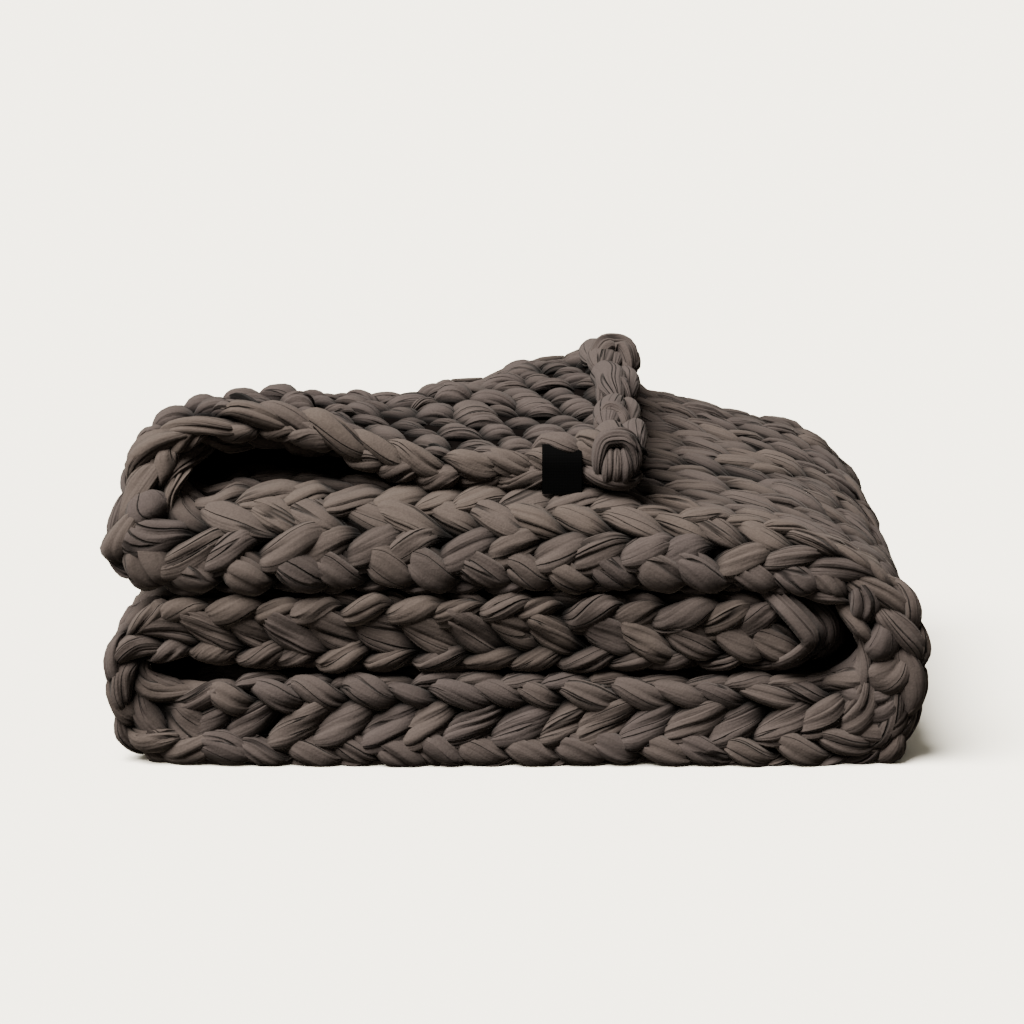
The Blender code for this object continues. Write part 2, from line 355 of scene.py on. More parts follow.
def guide_object():
    """The band's smooth face with its fabric coordinates as UV and its normals as an attribute."""
    rows = np.linspace(-SPARE, LENGTH + SPARE, GUIDE_GRID[0])
    wales = np.linspace(-WALES - WALE_SPARE, WALES + WALE_SPARE, GUIDE_GRID[1])
    s, w = np.meshgrid(rows, wales, indexing="ij")
    step, turn = 0.0015, 0.02
    along = full_face(s + step, w) - full_face(s - step, w)
    across = full_face(s, w + turn) - full_face(s, w - turn)
    normals = unit(np.cross(across, along))

    index = np.arange(s.size).reshape(s.shape)
    quads = np.stack((index[:-1, :-1], index[1:, :-1], index[1:, 1:], index[:-1, 1:]), axis=-1)
    mesh = bpy.data.meshes.new("knit_guide")
    mesh.from_pydata(full_face(s, w).reshape(-1, 3), [], quads.reshape(-1, 4))
    fabric = np.stack(((s + SPARE) / (LENGTH + 2 * SPARE),
                       (w + WALES + WALE_SPARE) / (2 * (WALES + WALE_SPARE))), axis=-1)
    layer = mesh.uv_layers.new(name="fabric")
    layer.data.foreach_set("uv", fabric.reshape(-1, 2)[quads.ravel()].astype(np.float32).ravel())
    attribute = mesh.attributes.new("face_normal", "FLOAT_VECTOR", "POINT")
    attribute.data.foreach_set("vector", normals.astype(np.float32).ravel())
    return new_object("knit_guide", mesh)


# Stitch shapes: one leg of a stitch, or one purl bump, as a pleated lobe of tube yarn

def folded_angles(rng, sides, folds):
    """Angles round a lobe and, for each, how far down its fold it lies: a fold drops sharply on
    one side and rises slowly on the other, as cloth laid over itself does. Also which fold."""
    places = []
    # Folds lie on the upper side, from 28 to 152 degrees, and nothing within 9 degrees of one.
    spots = np.linspace(28, 152, folds) + rng.uniform(-8, 8, folds)
    for number, spot in enumerate(spots):
        turn = 1 if rng.random() < 0.6 else -1
        places += [(spot - 3.5 * turn, -0.12, number), (spot, 1.0, number),
                   (spot + 7 * turn, 0.45, number)]
    spare = sides - len(places)
    for spot in np.linspace(-155, 205, spare, endpoint=False) + rng.uniform(0, 8):
        if all(abs(spot - other) > 9 for other in spots):
            places.append((spot, 0.0, 0))
    places.sort()
    angles, drop, fold = zip(*places)
    return np.radians(angles), np.array(drop), np.array(fold)


def half_width(x, rise, fall):
    """Half width of a lobe that widens over its first part, rise, and narrows over its last, fall."""
    ramp = np.minimum(np.minimum(x / rise, (1.0 - x) / fall), 1.0)
    return 0.5 * (0.55 * np.sin(np.pi / 2 * ramp) + 0.45 * ramp ** 0.6)


def tube_skin(base, angles, share):
    """Faces and UVs of a closed tube: a point at its start, which is vertex base, a ring of
    vertices at each share of its length, and a point at its end."""
    count, rings = len(angles), len(share)
    around = np.append((angles - angles[0]) / (2 * math.pi), 1.0)
    first, last = base + 1, base + 1 + (rings - 1) * count
    faces, uvs = [], []
    for side in range(count):
        beside = (side + 1) % count
        a, b = around[side], around[side + 1]
        faces.append((base, first + beside, first + side))
        uvs += [(0.0, (a + b) / 2), (share[0], b), (share[0], a)]
        for ring in range(rings - 1):
            r, n = first + ring * count, first + (ring + 1) * count
            faces.append((r + side, r + beside, n + beside, n + side))
            uvs += [(share[ring], a), (share[ring], b), (share[ring + 1], b), (share[ring + 1], a)]
        faces.append((last + side, last + beside, last + count))
        uvs += [(share[-1], a), (share[-1], b), (1.0, (a + b) / 2)]
    return faces, uvs


def yarn_mesh(name, verts, faces, uvs):
    """Mesh of yarn with its UV: how far along the yarn, and how far round it."""
    mesh = bpy.data.meshes.new(name)
    mesh.from_pydata(verts, [], faces)
    mesh.uv_layers.new(name="yarn").data.foreach_set("uv", np.array(uvs, np.float32).ravel())
    return mesh


def stitch_shape(name, rng, kind):
    """Lobe from x 0 at its proud end to x 1 at its tucked end, 1 wide and 1 thick, top at z 0."""
    pleats = int(rng.integers(kind.pleats[0], kind.pleats[1] + 1))
    angles, drop, fold = folded_angles(rng, kind.sides, pleats)
    x = 0.5 - 0.5 * np.cos(np.pi * np.linspace(0.0, 1.0, kind.rings + 2)[1:-1])
    x = 0.35 * x + 0.65 * np.linspace(0.03, 0.97, kind.rings)
    if kind.purl:
        outward, inward = (half_width(x, *rng.uniform(0.20, 0.36, 2)) for _ in range(2))
        thick = 0.5 * np.sin(np.pi * x) ** 0.50
        sink = 0.62 * abs(2 * x - 1) ** 2.8
        bow = rng.uniform(-0.06, 0.06) * np.sin(2 * np.pi * x)
        tips = ((0.0, 0.85), (0.0, 0.85))
    else:
        outward = half_width(x, rng.uniform(0.30, 0.42), rng.uniform(0.42, 0.58))
        inward = half_width(x, rng.uniform(0.34, 0.46), rng.uniform(0.38, 0.50))
        thick = 0.5 * np.sin(np.pi * x ** 0.85) ** 0.50
        sink = 0.55 * eased((x - 0.52) / 0.48) + 0.30 * eased((0.20 - x) / 0.20)
        slant = rng.uniform(0.34, 0.46)
        bow = slant * (0.7 * x + 1.3 * eased(x) - 1.0)
        tips = ((-slant, 0.36), (slant, 0.60))
    twist = rng.uniform(-0.6, 0.6)
    lump = rng.uniform(0, 2 * math.pi, 3)
    depth = rng.uniform(*kind.deep, MOST_PLEATS)
    reach = (rng.choice((0.35, 0.5, 0.7, 1.1, 1.3), MOST_PLEATS)
             * rng.uniform(0.8, 1.1, MOST_PLEATS))
    from_start = rng.random(MOST_PLEATS) < 0.5

    verts = [(0.0, tips[0][0], -0.5 - tips[0][1])]
    for ring, at in enumerate(x):
        turn = angles + twist * (at - 0.5)
        radius = (1.0 + 0.05 * np.cos(3 * angles + lump[0])
                  + 0.04 * np.sin(2 * angles + lump[1] + 3 * at))
        along = np.where(from_start[fold], at, 1.0 - at)
        radius = radius - drop * depth[fold] * eased((reach[fold] - along) / 0.35)
        c, s = np.cos(turn) * radius, np.sin(turn) * radius
        wide = np.where(c >= 0, outward[ring], inward[ring])
        low = np.where(s >= 0, 1.0, 0.8)
        y = bow[ring] + wide * np.sign(c) * abs(c) ** 0.88
        z = -0.5 - sink[ring] + thick[ring] * low * np.sign(s) * abs(s) ** 0.80
        verts += [(at, a, b) for a, b in zip(y, z)]
    verts.append((1.0, tips[1][0], -0.5 - tips[1][1]))
    return yarn_mesh(name, verts, *tube_skin(0, angles, x))


def shape_set(name, kind, seed):
    """Collection of one kind of stitch shape, no two alike."""
    rng = seeded(seed)
    collection = bpy.data.collections.new(name)
    bpy.context.scene.collection.children.link(collection)
    for number in range(kind.count):
        mesh = stitch_shape(f"{name}_{number:02d}", rng, kind)
        collection.objects.link(bpy.data.objects.new(mesh.name, mesh))
    return collection


# The plan of the knitting: a point for each leg or bump, in fabric coordinates

def column_places(column, start, end, pitch, rng):
    """Distances along a column, a stitch apart on the real surface, and for each the wale there
    and the metres of surface for each metre along the band."""
    s = np.linspace(start, end, 1500)
    line = knit_points(s, column + slide_at(s))
    run = np.concatenate(([0.0], np.cumsum(np.linalg.norm(np.diff(line, axis=0), axis=1))))
    count = max(1, round(run[-1] / pitch))
    wanted = (np.arange(count) + 0.5 + rng.uniform(-0.07, 0.07, count)) / count * run[-1]
    step = 0.002
    for distance in np.interp(wanted, run, s):
        wale = column + float(slide_at(distance))
        reach = knit_points(distance + step, wale) - knit_points(distance - step, wale)
        yield distance, wale, float(np.linalg.norm(reach, axis=-1)) / (2 * step)


def plan_legs(kind, columns, start, end, seed, pitch=None, length=None, lifts=None,
              girths=(0.54, 0.66), leans=(-3, 6), thick=(0.0150, 0.0190), way=-1,
              tints=(0.1, 0.9)):
    """Two legs for each stitch of the given columns, an arrowhead along the band that opens
    forwards (way 1) or backwards (way -1). lifts says how far a column stands proud."""
    sizes = bpy.context.scene.knit_sizes
    pitch, length, lifts = pitch or sizes.row_pitch, length or sizes.leg_length, lifts or {}
    rng = seeded(seed)
    stitches = []
    for column in columns:
        for distance, wale, along in column_places(column, start, end, pitch, rng):
            wale += rng.uniform(-0.03, 0.03)
            for side in (1, -1):
                lean = math.radians(rng.uniform(*leans))
                size = length * rng.uniform(0.88, 1.12)
                girth = rng.uniform(*girths)
                stagger = side * 0.15 * pitch + rng.uniform(-0.0035, 0.0035)
                # The leg starts 0.4 of its length before the stitch's place.
                place = (distance + (stagger - way * 0.40 * length) / along,
                         wale + side * rng.uniform(0.22, 0.28),
                         lifts.get(column, 0.0) - rng.uniform(0.0, 0.0035))
                reach = (way * size / along, side * math.sin(lean) * size / WALE_WIDTH,
                         rng.uniform(-0.003, 0.002))
                wide = (0.0, side * girth, rng.uniform(-0.0040, 0.0020))
                stitches.append(Stitch(place, reach, wide, rng.uniform(*thick),
                                       int(rng.integers(KINDS[kind].count)), side * way > 0,
                                       rng.uniform(*tints)))
    return stitches


def plan_bumps(columns, start, end, seed):
    """A full purl bump for each stitch, every other column half a stitch along, and a twist."""
    pitch = bpy.context.scene.knit_sizes.row_pitch
    rng = seeded(seed)
    stitches = []
    for column in columns:
        half = 0.5 * pitch * (column % 2)
        for distance, wale, along in column_places(column, start, end, pitch, rng):
            for bump in BUMPS:
                size, wide, turn = (rng.uniform(*span) for span in bump[:3])
                ahead = half + bump.ahead * pitch + size / 2 + rng.uniform(-0.002, 0.002)
                place = (distance + ahead / along,
                         wale + bump.beside + rng.uniform(-0.06, 0.06) - turn * 0.3,
                         rng.uniform(*bump.lift))
                reach = (-math.cos(turn) * size / along, math.sin(turn) * size / WALE_WIDTH, 0.0)
                across = (math.sin(turn) * wide * WALE_WIDTH / along, math.cos(turn) * wide, 0.0)
                stitches.append(Stitch(place, reach, across, rng.uniform(*bump.thick),
                                       int(rng.integers(KINDS["bumps"].count)), False,
                                       rng.uniform(0.0, 0.3)))
    return stitches


def clear_of_bend(stitches):
    """Leave out what nobody sees deep in the flap's tight bend, where the cloth is thin."""
    start, end = START["rise"] - 0.012, START["flap"] + 0.02
    seen_wales = 3.4
    return [stitch for stitch in stitches
            if stitch.place[1] < seen_wales or not start < stitch.place[0] < end]


def plan_mesh(name, stitches):
    """Points that carry each stitch's place, size, shape and tint as attributes."""
    mesh = bpy.data.meshes.new(name)
    mesh.from_pydata([(0.0, 0.0, 0.0)] * len(stitches), [], [])
    for field, kind in (*LAYING.items(), ("tint", "FLOAT")):
        layer = mesh.attributes.new(field, kind, "POINT")
        values = np.array([getattr(stitch, field) for stitch in stitches],
                          dtype=np.int32 if kind == "INT" else np.float32)
        layer.data.foreach_set("vector" if kind == "FLOAT_VECTOR" else "value", values.ravel())
    return mesh


# Nodes

def set_inputs(node, inputs):
    """Give a node's inputs, by name or in order, a value or a link. A link comes from a socket, or
    from a node's first live output."""
    for socket, source in (inputs.items() if isinstance(inputs, dict) else enumerate(inputs)):
        if isinstance(source, bpy.types.Node):
            source = next(output for output in source.outputs if output.enabled)
        if isinstance(source, bpy.types.NodeSocket):
            node.id_data.links.new(source, node.inputs[socket])
        else:
            node.inputs[socket].default_value = source


def add_node(tree, kind, inputs=(), **settings):
    """Add a node with its settings and its inputs."""
    node = tree.nodes.new(kind)
    for name, value in settings.items():
        setattr(node, name, value)
    set_inputs(node, inputs)
    return node


def hex_colour(code):
    """Linear colour from an sRGB hex code."""
    parts = [int(code[i:i + 2], 16) / 255 for i in (1, 3, 5)]
    linear = [p / 12.92 if p <= 0.04045 else ((p + 0.055) / 1.055) ** 2.4 for p in parts]
    return (*linear, 1.0)


def stitch_tree():
    """Geometry Nodes that lay stitch shapes on planned points and bend them on to the band."""
    tree = bpy.data.node_groups.new("Lay stitches", "GeometryNodeTree")
    inputs = {
        "Geometry": "Geometry", "Stitch Shapes": "Collection", "Guide": "Object",
        "Yarn": "Material", "Fullness": "Float", "Band Length": "Float", "Spare": "Float",
        "Wales": "Float",
    }
    for name, kind in inputs.items():
        tree.interface.new_socket(name, in_out="INPUT", socket_type="NodeSocket" + kind)
    tree.interface.new_socket("Geometry", in_out="OUTPUT", socket_type="NodeSocketGeometry")
    add = partial(add_node, tree)
    given = add("NodeGroupInput").outputs
    fields = {**LAYING, "fabric": "FLOAT_VECTOR", "face_normal": "FLOAT_VECTOR"}
    read = {name: add("GeometryNodeInputNamedAttribute", {"Name": name}, data_type=kind)
            for name, kind in fields.items()}

    shapes = add("GeometryNodeCollectionInfo", {
        "Collection": given["Stitch Shapes"], "Separate Children": True, "Reset Children": True,
    })
    laid = add("GeometryNodeInstanceOnPoints", {
        "Points": given["Geometry"], "Instance": shapes, "Pick Instance": True,
        "Instance Index": read["shape"],
    })
    real = add("GeometryNodeRealizeInstances", {"Geometry": laid})

    # Where each corner of a shape lies on the fabric, and how high over it.
    position = add("GeometryNodeInputPosition")
    corner = add("ShaderNodeSeparateXYZ", [position]).outputs
    fabric = read["place"]
    for name, size in (("along", corner[0]), ("across", corner[1])):
        shift = add("ShaderNodeVectorMath", {0: read[name], "Scale": size}, operation="SCALE")
        fabric = add("ShaderNodeVectorMath", [fabric, shift], operation="ADD")
    place = add("ShaderNodeSeparateXYZ", [fabric]).outputs
    full = add("ShaderNodeMath", [read["thickness"], given["Fullness"]], operation="MULTIPLY")
    height = add("ShaderNodeMath", [corner[2], full, place[2]], operation="MULTIPLY_ADD")

    # That place as the guide's UV: its share of the guide's whole length and whole width.
    past = add("ShaderNodeMath", [place[0], given["Spare"]], operation="ADD")
    length = add("ShaderNodeMath", [given["Spare"], 2.0, given["Band Length"]],
                 operation="MULTIPLY_ADD")
    reach = add("ShaderNodeMath", [given["Wales"], WALE_SPARE], operation="ADD")
    aside = add("ShaderNodeMath", [place[1], reach], operation="ADD")
    width = add("ShaderNodeMath", [reach, 2.0], operation="MULTIPLY")
    uv = add("ShaderNodeCombineXYZ", [
        add("ShaderNodeMath", parts, operation="DIVIDE", use_clamp=True)
        for parts in ((past, length), (aside, width))
    ])
    guide = add("GeometryNodeObjectInfo", {"Object": given["Guide"]}, transform_space="ORIGINAL")
    face, normal = (
        add("GeometryNodeSampleUVSurface", {
            "Mesh": guide.outputs["Geometry"], "Value": value, "Source UV Map": read["fabric"],
            "Sample UV": uv,
        }, data_type="FLOAT_VECTOR")
        for value in (position, read["face_normal"])
    )
    off = add("ShaderNodeVectorMath", {0: normal, "Scale": height}, operation="SCALE")
    bent = add("ShaderNodeVectorMath", [face, off], operation="ADD")

    # Each corner's height over the knit's face is kept as sunk; the yarn material paints shade by it.
    marked = add("GeometryNodeStoreNamedAttribute",
                 {"Geometry": real, "Name": "sunk", "Value": height}, data_type="FLOAT")
    moved = add("GeometryNodeSetPosition", {"Geometry": marked, "Position": bent})
    turned = add("FunctionNodeCompare", {"A": read["flip"], "B": 0.5}, data_type="FLOAT",
                 operation="GREATER_THAN")
    faced = add("GeometryNodeFlipFaces", {"Mesh": moved, "Selection": turned})
    smooth = add("GeometryNodeSetShadeSmooth", {"Geometry": faced})
    dressed = add("GeometryNodeSetMaterial", {"Geometry": smooth, "Material": given["Yarn"]})
    add("NodeGroupOutput", [dressed])
    return tree


@cache
def knit_tools():
    """The guide, the yarn, the stitch shapes and the nodes, made once for all the operators."""
    yarn = yarn_material(bpy.context.scene.knit_colours)
    shapes = {name: shape_set(name, KINDS[name], number) for number, name in enumerate(KINDS)}
    return Tools(guide_object(), yarn, shapes, stitch_tree())


def clear_tools():
    """Remove the guide and the loose stitch shapes."""
    tools = knit_tools()
    for collection in tools.shapes.values():
        for item in list(collection.objects):
            bpy.data.objects.remove(item)
        bpy.data.collections.remove(collection)
    bpy.data.objects.remove(tools.guide)
    knit_tools.cache_clear()


def soft_piece(name, mesh):
    """A finished piece of knit, as the frame needs it."""
    piece = new_object(name, mesh)
    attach(piece, "root")
    return piece


def lay_stitches(name, kind, stitches):
    """Run the stitch nodes on a plan and keep the result as a plain mesh object."""
    tools = knit_tools()
    plan = new_object(name + "_plan", plan_mesh(name + "_plan", stitches))
    modifier = plan.modifiers.new("lay stitches", "NODES")
    modifier.node_group = tools.tree
    values = {
        "Stitch Shapes": tools.shapes[kind], "Guide": tools.guide, "Yarn": tools.yarn,
        "Fullness": bpy.context.scene.knit_sizes.fullness, "Band Length": float(LENGTH),
        "Spare": SPARE, "Wales": float(WALES),
    }
    for item in tools.tree.interface.items_tree:
        if item.in_out == "INPUT" and item.name in values:
            modifier[item.identifier] = values[item.name]
    bpy.context.view_layer.update()
    depsgraph = bpy.context.evaluated_depsgraph_get()
    mesh = bpy.data.meshes.new_from_object(plan.evaluated_get(depsgraph), depsgraph=depsgraph)
    plan.modifiers.remove(modifier)
    bpy.data.objects.remove(plan)
    if not mesh.polygons:
        raise RuntimeError(f"{name}: no stitches were made")
    for field in LAYING:
        if field in mesh.attributes:
            mesh.attributes.remove(mesh.attributes[field])
    corners = np.empty(len(mesh.vertices) * 3, dtype=np.float32)
    mesh.vertices.foreach_get("co", corners)
    corners[2::3] = np.maximum(corners[2::3], FLOOR_GAP)
    mesh.vertices.foreach_set("co", corners)
    mesh.name = name
    soft_piece(name, mesh)


# Loops at the band's two ends: tubes of yarn along their own paths

def smooth_path(points, count):
    """Points evenly spaced in step on a smooth curve through a few points."""
    points = np.asarray(points, float)
    padded = np.vstack((2 * points[0] - points[1], points, 2 * points[-1] - points[-2]))
    places = np.linspace(0, len(points) - 1 - 1e-9, count)
    i = places.astype(int)
    t = (places - i)[:, None]
    a, b, c, d = (padded[i + k] for k in range(4))
    return 0.5 * (2 * b + (c - a) * t + (2 * a - 5 * b + 4 * c - d) * t**2
                  + (3 * b - 3 * c + d - a) * t**3)


def turn_outwards(mesh):
    """Recalculate a closed mesh's normals so that they point outwards."""
    body = bmesh.new()
    body.from_mesh(mesh)
    bmesh.ops.recalc_face_normals(body, faces=body.faces)
    body.to_mesh(mesh)
    body.free()


def lay_strands(name, strands, seed, sides):
    """Closed, pleated tubes of yarn, one for each strand, in one piece."""
    rng = seeded(seed)
    share = np.linspace(0.02, 0.98, STRAND_RINGS)
    swell = np.sin(np.pi * share) ** 0.45
    verts, faces, uvs, tints = [], [], [], []
    for strand in strands:
        angles, drop, fold = folded_angles(rng, sides, STRAND_PLEATS)
        centres = smooth_path(strand.points, STRAND_RINGS + 2)
        ahead = unit(np.gradient(centres, axis=0))
        wide = unit(strand.wide - ahead * (ahead @ np.asarray(strand.wide))[:, None])
        up = np.cross(ahead, wide)
        depth = rng.uniform(0.16, 0.44, MOST_PLEATS)[fold]
        twist = rng.uniform(-0.5, 0.5)
        more_faces, more_uvs = tube_skin(len(verts), angles, share)
        faces += more_faces
        uvs += more_uvs
        verts.append(centres[0])
        for ring, at in enumerate(share):
            turn = angles + twist * (at - 0.5)
            radius = 1.0 - drop * depth + 0.05 * np.cos(3 * angles + 4 * at)
            c = np.cos(turn) * radius * strand.width / 2 * swell[ring]
            s = np.sin(turn) * radius * strand.thickness / 2 * swell[ring]
            verts += list(centres[ring + 1] + wide[ring + 1] * c[:, None]
                          + up[ring + 1] * s[:, None])
        verts.append(centres[-1])
        tints += [rng.uniform(0.0, 0.3)] * (len(angles) * STRAND_RINGS + 2)
    mesh = yarn_mesh(name, verts, faces, uvs)
    mesh.attributes.new("tint", "FLOAT", "POINT").data.foreach_set("value", tints)
    mesh.materials.append(knit_tools().yarn)
    mesh.shade_smooth()
    turn_outwards(mesh)
    soft_piece(name, mesh)


def from_front(path, front=FRONT):
    """A path's points, whose y is measured back from the blanket's front or from another place."""
    return np.array([(x, front + y, z) for x, y, z in path])


def inner_loops(seed):
    """Loops cast off round the band's inner end."""
    rng = seeded(seed)
    strands = []
    for number in range(8):
        wale = -1.6 - number
        beside = knit_points(0.0, wale - 0.1) - knit_points(0.0, wale + 0.1)
        lean = rng.uniform(-0.30, 0.30)
        wale += rng.uniform(-0.06, 0.06)
        course = (
            (0.036, wale + lean, 0.013), (0.024, wale + lean, 0.006), (0.010, wale, 0.002),
            (-0.002, wale, 0.007), (-0.006, wale, 0.0145), (-0.001, -wale, 0.008),
            (0.012, -wale - lean, 0.006), (0.028, -wale - lean, 0.011),
        )
        points = [knit_points(s, w, depth) for s, w, depth in course]
        strands.append(Strand(points, beside, rng.uniform(0.030, 0.036), rng.uniform(0.015, 0.019)))
        between = wale + 0.5
        points = [knit_points(s + 0.006, between if w * wale > 0 else -between, depth + 0.003)
                  for s, w, depth in course]
        strands.append(Strand(points, beside, rng.uniform(0.017, 0.023), rng.uniform(0.013, 0.016)))
    return strands


# Rims drawn over the flap's rolled end, in millimetres: how far back from the front, the middle
# of the arch, its top, its half width, its height, how far its top leans back, and the yarn's
# girth.
RIMS = np.array((
    (29.5, 64.5, 204.5, 12, 24, 4, 12),
    (93, 63.5, 212.5, 8.5, 17, 12, 10),
    (172, 66, 219.5, 9, 17, 16, 9.5),
    (270, 68.5, 231, 11, 20, 16, 16.5),
    (330, 69, 224, 11, 20, 12, 10),
)) / 1000

# A rim's arch: shares of its half width, of its lean and of its height below its top.
RIM_ARCH = (
    (-0.95, -0.2, 1.0), (-1.0, 0.1, 0.55), (-0.72, 0.8, 0.12), (0.0, 1.0, 0.0), (0.74, 0.8, 0.14),
    (1.02, 0.1, 0.6), (0.85, -0.2, 1.05),
)

# The roll's gathers that show between the rims, in millimetres: start and end back from the
# front, the height and the place across at each, and the girth.
GATHERS = np.array((
    (31, 90, 190, 201, 66, 60, 23),
    (50, 110, 192, 200, 78, 76, 19),
    (80, 165, 202, 208, 60, 67, 21),
    (100, 190, 196, 204, 73, 73, 18),
    (155, 255, 210, 219, 67, 61, 21),
    (180, 280, 204, 213, 74, 76, 19),
    (245, 345, 218, 223, 59, 65, 22),
    (262, 335, 216, 216.5, 78, 74, 22),
    (258, 330, 218, 217.5, 68, 69, 21),
    (290, 395, 217, 214, 54, 57, 19),
    (322, 396, 216, 213, 75, 71, 20),
    (312, 388, 216.5, 213.5, 64, 67, 18),
)) / 1000


def rolled_end(seed):
    """The flap's rolled end: gathers of yarn under the rims drawn over them."""
    rng = seeded(seed)
    strands = []
    for back, middle, top, half, height, lean, girth in RIMS:
        arch = from_front(((middle + x * half, y * lean, top - z * height) for x, y, z in RIM_ARCH),
                          FRONT + back)
        points = arch + rng.uniform(-0.0012, 0.0012, (len(arch), 3))
        strands.append(Strand(points, ALONG_Y, girth * 1.35, girth))
    shares = np.linspace(0.0, 1.0, 5)
    for start, finish, low, high, left, right, girth in GATHERS:
        first, last = from_front(((left, start, low), (right, finish, high)))
        points = first + (last - first) * shares[:, None]
        points[:, 2] += 0.003 * np.sin(np.pi * shares)
        points[:, 0] += rng.uniform(-0.002, 0.002, 5)
        strands.append(Strand(points, (1.0, 0.0, 0.3), girth * 1.05, girth))
    # Ribs on the roll's front, between the flap's edge and its first rim.
    for x, girth in ((0.0590, 0.0085), (0.0645, 0.0095), (0.0700, 0.0090)):
        rib = ((x - 0.002, 0.031, 0.176), (x, 0.0265, 0.186), (0.7 * x + 0.019, 0.030, 0.1995))
        strands.append(Strand(from_front(rib), (1.0, 0.0, 0.0), girth, 0.0140))
    below = np.array(((40, 42, 186), (56, 33, 180), (70, 34, 178), (80, 44, 181))) / 1000
    strands.append(Strand(from_front(below), ALONG_Y, 0.018, 0.015))
    return strands


def back_ties():
    """Two strands that close the flap's hollow at its back."""
    path = ((-0.215, 0.345), (-0.180, 0.362), (-0.140, 0.362), (-0.105, 0.345))
    return [Strand(from_front((x, y, z) for x, y in path), (0.0, 0.0, 1.0), 0.020, 0.018)
            for z in (0.146, 0.158)]


# Materials

def new_material(name):
    """A material, the means to add a node to it, and its shader."""
    material = bpy.data.materials.new(name)
    material.use_nodes = True
    tree = material.node_tree
    return material, partial(add_node, tree), tree.nodes["Principled BSDF"]


def yarn_material(colours):
    """Brushed cotton jersey tube, stuffed and hand knitted: matt, with pleats along the tube."""
    material, add, shader = new_material("brushed cotton jersey tube yarn")
    uv = add("ShaderNodeUVMap", uv_map="yarn")
    tint = add("ShaderNodeAttribute", attribute_name="tint").outputs["Fac"]
    sunk = add("ShaderNodeAttribute", attribute_name="sunk").outputs["Fac"]
    seed = add("ShaderNodeMath", [tint, 60.0], operation="MULTIPLY")
    # A leg's tube is about 55 mm long and 70 mm round. A few sharp creases run along it, in some
    # parts of it and not in others, over softer waves of 6 mm.
    creasing, parts, waves = (
        add("ShaderNodeTexNoise", {
            "Vector": add("ShaderNodeMapping", {0: uv, "Scale": (along, around, 1.0)}),
            "W": seed, "Scale": 1.0, "Detail": detail, "Roughness": roughness,
        }, noise_dimensions="4D")
        for along, around, detail, roughness in (
            (0.35, 7.0, 1.0, 0.4), (1.6, 2.6, 0.0, 0.5), (0.7, 11.0, 2.0, 0.5),
        )
    )
    level = add("ShaderNodeMath", [creasing, 0.5], operation="SUBTRACT")
    level = add("ShaderNodeMath", [level], operation="ABSOLUTE")
    # Jersey grain of about 1.2 mm, and the brushed nap's soft lumps of 7 mm.
    place = add("ShaderNodeTexCoord").outputs["Object"]
    grain, lumps = (
        add("ShaderNodeTexNoise", {"Vector": place, "Scale": scale, "Detail": detail})
        for scale, detail in ((820.0, 1.0), (150.0, 2.0))
    )
    # Painted shade: the yarn is coloured darkest where it dives between its neighbours, 9 mm under
    # the knit's face.
    folds, apart, dusty, shaded = (
        add("ShaderNodeMapRange", {
            "Value": value, "From Min": low, "From Max": high, "To Min": start, "To Max": end,
        }, interpolation_type=way)
        for value, low, high, start, end, way in (
            (level, 0.0, 0.018, 0.0, 1.0, "SMOOTHSTEP"),
            (parts, 0.36, 0.50, 1.0, 0.0, "SMOOTHSTEP"),
            (grain, 0.35, 0.65, 0.90, 1.06, "LINEAR"),
            (sunk, -0.0090, -0.0012, 0.03, 1.0, "SMOOTHSTEP"),
        )
    )
    folds = add("ShaderNodeMath", [folds, apart], operation="MAXIMUM")
    # Painted shade: the crease lines are coloured darker, down to 0.28, for the shade in them.
    crease = add("ShaderNodeMapRange", {"Value": folds, "To Min": 0.28})
    bump, below = None, {}
    for height, strength, distance in (
        (folds, 0.95, 0.0020), (waves, 0.80, 0.0042), (lumps, 0.35, 0.0012), (grain, 0.40, 0.0005),
    ):
        bump = add("ShaderNodeBump", {
            "Height": height, "Strength": strength, "Distance": distance, **below,
        })
        below = {"Normal": bump}
    shade = add("ShaderNodeMix", {
        0: tint, 6: (*colours.yarn_dark, 1.0), 7: (*colours.yarn_light, 1.0),
    }, data_type="RGBA")
    # The grain's own tone, times the painted shade in the creases and deep between the stitches.
    tone = add("ShaderNodeMath", [dusty, crease], operation="MULTIPLY")
    tone = add("ShaderNodeMath", [tone, shaded], operation="MULTIPLY")
    set_inputs(shader, {
        "Base Color": add("ShaderNodeVectorMath", {0: shade, "Scale": tone}, operation="SCALE"),
        "Normal": bump, "Roughness": 0.96, "Specular IOR Level": 0.03, "Sheen Weight": 0.02,
        "Sheen Roughness": 0.60, "Sheen Tint": (0.62, 0.56, 0.52, 1.0),
    })
    return material


def ground_material(colours):
    """Inner loops of the same yarn, in painted shade: the dark seen between the stitches."""
    material, add, shader = new_material("jersey yarn deep between stitches")
    place = add("ShaderNodeTexCoord").outputs["Object"]
    lumps = add("ShaderNodeTexNoise", {"Vector": place, "Scale": 90.0, "Detail": 3.0})
    darkest, lightest = ((*[part * share for part in colours.yarn_dark], 1.0)
                         for share in (0.03, 0.12))
    set_inputs(shader, {
        "Base Color": add("ShaderNodeMix", {0: lumps, 6: darkest, 7: lightest}, data_type="RGBA"),
        "Normal": add("ShaderNodeBump", {"Height": lumps, "Strength": 0.5, "Distance": 0.004}),
        "Roughness": 0.97, "Specular IOR Level": 0.0,
    })
    return material


